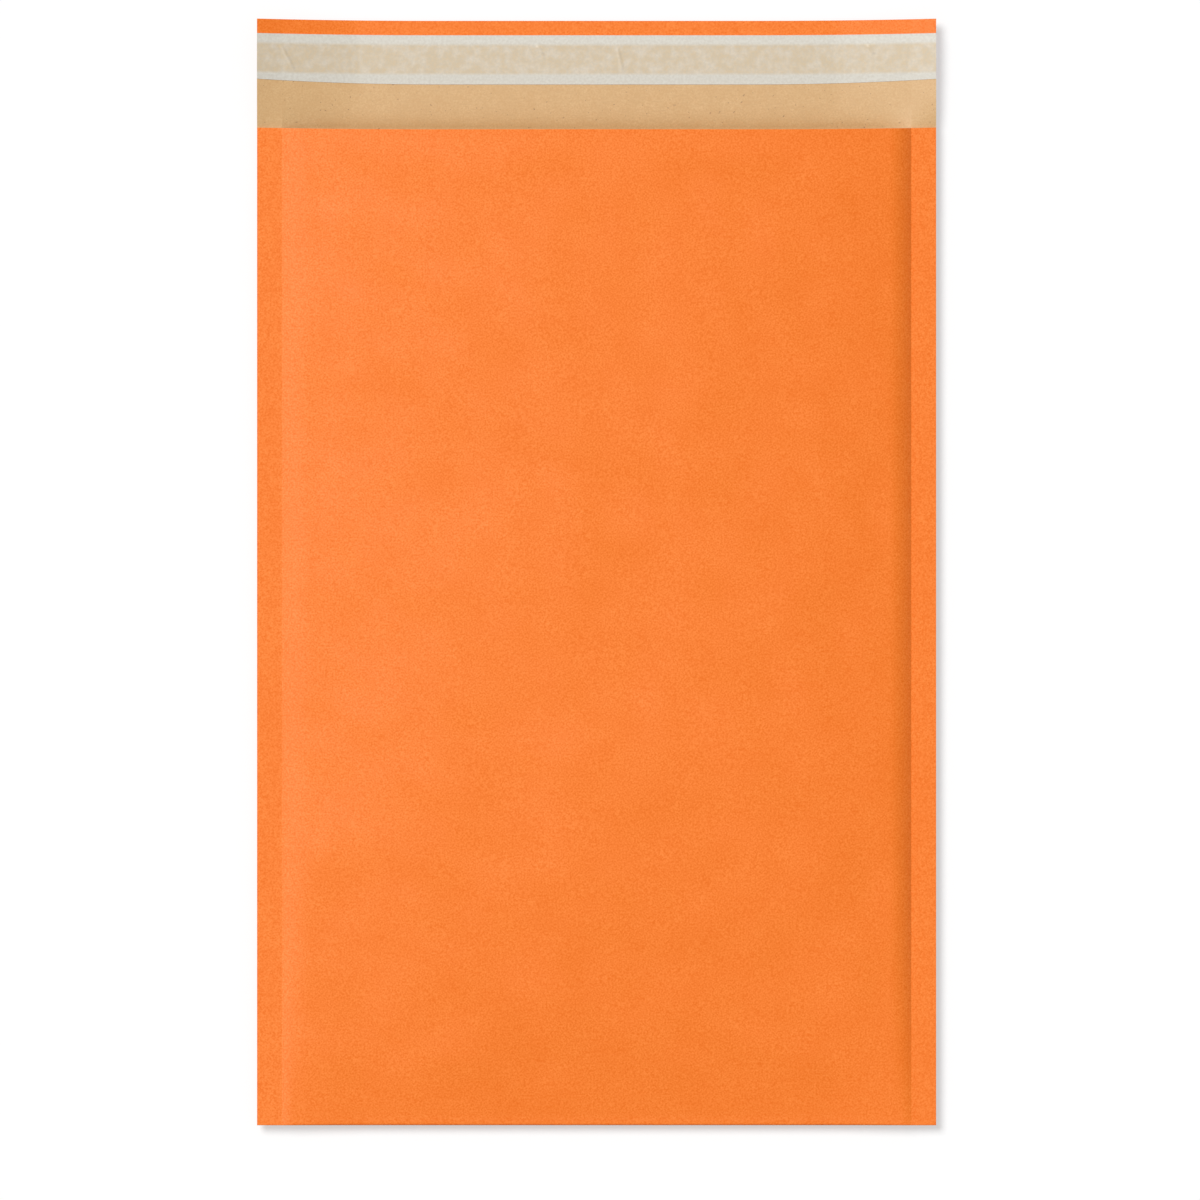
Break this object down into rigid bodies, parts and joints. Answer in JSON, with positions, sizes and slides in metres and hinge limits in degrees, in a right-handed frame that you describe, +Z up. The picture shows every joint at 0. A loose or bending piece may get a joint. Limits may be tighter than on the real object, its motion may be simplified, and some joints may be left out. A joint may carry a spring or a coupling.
{
  "type": "padded envelope",
  "caption": "Padded paper envelope lying flat and open: folded outer sheet, cushioned paper bag inside, glued side seams, and a flap with an adhesive band under a release strip.",
  "frame": {"origin": "middle of the outline, at the height of the flat back panel's underside", "axes": "+X across the envelope from its left side seam to its right one, +Y from the bottom fold to the flap's edge, +Z up out of the front panel"},
  "size_m": [0.24, 0.391, 0.0114],
  "materials": {
    "outer_paper": "matte",
    "liner_paper": "matte",
    "padding": "matte",
    "glue": "satin",
    "adhesive": "satin",
    "release_paper": "satin"
  },
  "bodies": {
    "root": {"outer_sheet": "outer_paper", "inner_liner": "liner_paper", "padding": "padding", "side_glue_left": "glue", "side_glue_right": "glue", "adhesive_strip": "adhesive", "release_strip": "release_paper"}
  },
  "joints": []
}
